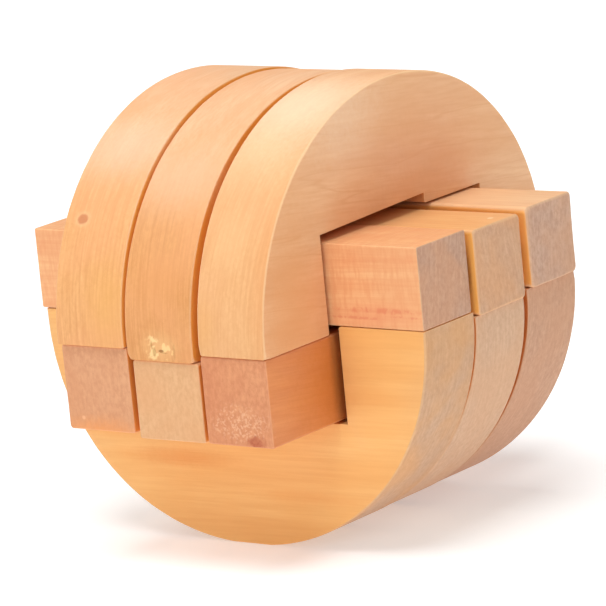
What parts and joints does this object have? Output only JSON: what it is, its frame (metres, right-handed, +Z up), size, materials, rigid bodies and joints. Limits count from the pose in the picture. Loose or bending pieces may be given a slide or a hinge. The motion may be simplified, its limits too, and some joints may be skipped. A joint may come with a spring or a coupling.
{
  "type": "interlocking wooden puzzle",
  "caption": "Interlocking wooden puzzle of two crossed half-cylinders, cut into half-disc plates and keyed together by square sliding bars.",
  "frame": {"origin": "centre of the bounding box in plan, at the level of the rest flats under the lower plates", "axes": "+Z up; X along the lower plates and the upper bars, which pull out towards +X; Y along the upper plates and the lower bars, which pull out towards -Y"},
  "size_m": [0.0598, 0.061, 0.0564],
  "materials": {
    "upper_plate_left_wood": "sanded pale hardwood, no varnish",
    "upper_plate_middle_wood": "sanded pale hardwood, no varnish",
    "upper_plate_right_wood": "sanded pale hardwood, no varnish",
    "lower_plate_front_wood": "sanded pale hardwood, no varnish",
    "lower_plate_middle_wood": "sanded pale hardwood, no varnish",
    "lower_plate_rear_wood": "sanded pale hardwood, no varnish",
    "upper_bar_front_wood": "sanded pale hardwood, no varnish",
    "upper_bar_middle_wood": "sanded pale hardwood, no varnish",
    "upper_bar_rear_wood": "sanded pale hardwood, no varnish",
    "lower_bar_left_wood": "sanded pale hardwood, no varnish",
    "lower_bar_middle_wood": "sanded pale hardwood, no varnish",
    "lower_bar_right_wood": "sanded pale hardwood, no varnish"
  },
  "bodies": {
    "plates": {"upper_plate_left": "upper_plate_left_wood", "upper_plate_middle": "upper_plate_middle_wood", "upper_plate_right": "upper_plate_right_wood", "lower_plate_front": "lower_plate_front_wood", "lower_plate_middle": "lower_plate_middle_wood", "lower_plate_rear": "lower_plate_rear_wood"},
    "upper_bar_front": {"upper_bar_front": "upper_bar_front_wood"},
    "upper_bar_middle": {"upper_bar_middle": "upper_bar_middle_wood"},
    "upper_bar_rear": {"upper_bar_rear": "upper_bar_rear_wood"},
    "lower_bar_left": {"lower_bar_left": "lower_bar_left_wood"},
    "lower_bar_middle": {"lower_bar_middle": "lower_bar_middle_wood"},
    "lower_bar_right": {"lower_bar_right": "lower_bar_right_wood"}
  },
  "joints": [
    {"name": "upper_bar_front_slide", "type": "slide", "parent": "plates", "child": "upper_bar_front", "axis": [1, 0, 0], "range_m": [0, 0.061]},
    {"name": "upper_bar_middle_slide", "type": "slide", "parent": "plates", "child": "upper_bar_middle", "axis": [1, 0, 0], "range_m": [0, 0.061]},
    {"name": "upper_bar_rear_slide", "type": "slide", "parent": "plates", "child": "upper_bar_rear", "axis": [1, 0, 0], "range_m": [0, 0.061]},
    {"name": "lower_bar_left_slide", "type": "slide", "parent": "plates", "child": "lower_bar_left", "axis": [0, -1, 0], "range_m": [0, 0.061]},
    {"name": "lower_bar_middle_slide", "type": "slide", "parent": "plates", "child": "lower_bar_middle", "axis": [0, -1, 0], "range_m": [0, 0.061]},
    {"name": "lower_bar_right_slide", "type": "slide", "parent": "plates", "child": "lower_bar_right", "axis": [0, -1, 0], "range_m": [0, 0.061]}
  ]
}
